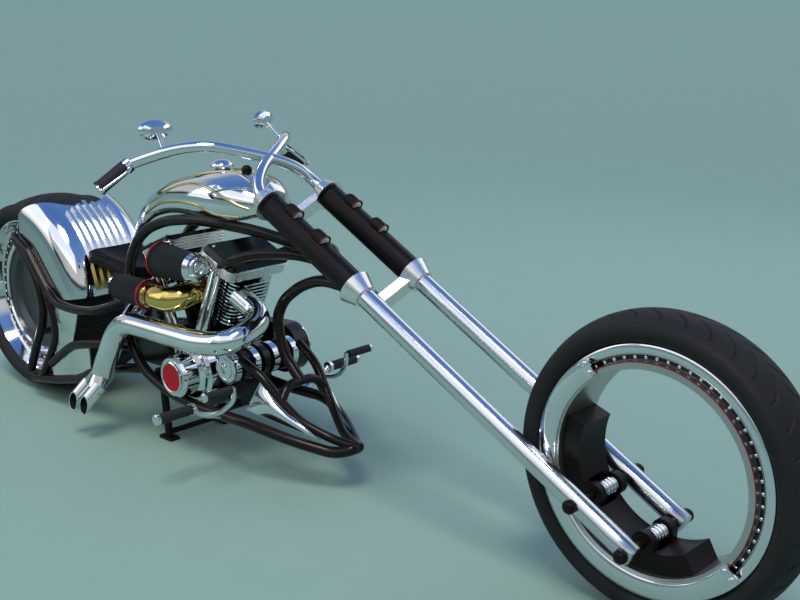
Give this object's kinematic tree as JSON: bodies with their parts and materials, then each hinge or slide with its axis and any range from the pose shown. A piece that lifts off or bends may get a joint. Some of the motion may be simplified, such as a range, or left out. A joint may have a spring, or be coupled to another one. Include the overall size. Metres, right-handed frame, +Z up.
{
  "type": "long-fork chopper motorcycle with hubless wheels",
  "caption": "Low chopper motorcycle with a very long raked fork, wide hubless wheels, an open V-twin engine in a bent-tube frame and a centre stand.",
  "frame": {"origin": "on the floor, midway between the two ends of the motorcycle, on its middle plane", "axes": "+X forward, +Y to the rider's left, +Z up"},
  "size_m": [3.09, 0.772, 1.0003],
  "materials": {
    "tyre": "matte rubber",
    "chrome": "polished",
    "steel": "satin",
    "black_paint": "satin",
    "frame_paint": "gloss",
    "engine_black": "gloss",
    "gold": "polished",
    "red": "gloss",
    "rubber": "matte",
    "leather": "matte",
    "lamp_glass": "clear",
    "mirror_glass": "clear"
  },
  "bodies": {
    "chassis": {"frame_neck": "frame_paint", "frame_upper_rails": "frame_paint", "frame_stays": "frame_paint", "frame_cradle": "frame_paint", "frame_inner_tubes": "frame_paint", "frame_cross_tubes": "frame_paint", "frame_tail_right": "frame_paint", "frame_tail_left": "frame_paint", "rear_drum": "black_paint", "rear_fender": "chrome", "fender_ribs": "chrome", "seat": "leather", "fuel_tank": "chrome", "tank_cap": "chrome", "crankcase": "engine_black", "oil_drum": "engine_black", "front_cylinder": "chrome", "rear_cylinder": "chrome", "rocker_boxes": "chrome", "rocker_covers": "engine_black", "pushrod_tubes": "chrome", "cam_cover": "chrome", "cam_badge": "red", "primary_cover": "engine_black", "gearbox": "engine_black", "intake_elbows": "gold", "air_filters": "rubber", "filter_rings": "red", "filter_caps": "chrome", "exhaust_front": "chrome", "exhaust_rear": "chrome", "belly_panels": "chrome", "tail_panels": "chrome", "foot_controls": "chrome", "foot_pegs": "rubber", "pedal_rubbers": "rubber"},
    "front_end": {"front_stator": "steel", "front_guards": "chrome", "front_carrier": "black_paint", "fork_crossbars": "black_paint", "crossbar_sleeves": "chrome", "fork_tubes": "chrome", "fork_covers": "black_paint", "lower_clamp": "chrome", "upper_clamp": "chrome", "steering_stem": "chrome", "fork_lamps": "black_paint", "fork_lamp_lenses": "lamp_glass", "handlebar": "chrome", "grips": "rubber", "hand_levers": "chrome", "mirrors": "chrome", "mirror_glasses": "mirror_glass"},
    "front_wheel": {"front_tyre": "tyre", "front_rim": "chrome"},
    "rear_wheel": {"rear_tyre": "tyre", "rear_rim": "chrome"},
    "stand": {"centre_stand": "black_paint"}
  },
  "joints": [
    {"name": "steering", "type": "hinge", "parent": "chassis", "child": "front_end", "pos_m": [0.1776, 0, 0.63819], "axis": [-0.878, 0, 0.4787], "range_deg": [-25, 25]},
    {"name": "front_wheel_spin", "type": "hinge", "parent": "front_end", "child": "front_wheel", "pos_m": [1.2, 0, 0.345], "axis": [0, 1, 0], "continuous": true},
    {"name": "rear_wheel_spin", "type": "hinge", "parent": "chassis", "child": "rear_wheel", "pos_m": [-1.207, 0, 0.338], "axis": [0, 1, 0], "continuous": true},
    {"name": "stand_fold", "type": "hinge", "parent": "chassis", "child": "stand", "pos_m": [-0.481, 0, 0.205], "axis": [0, 1, 0], "range_deg": [0, 95]}
  ]
}
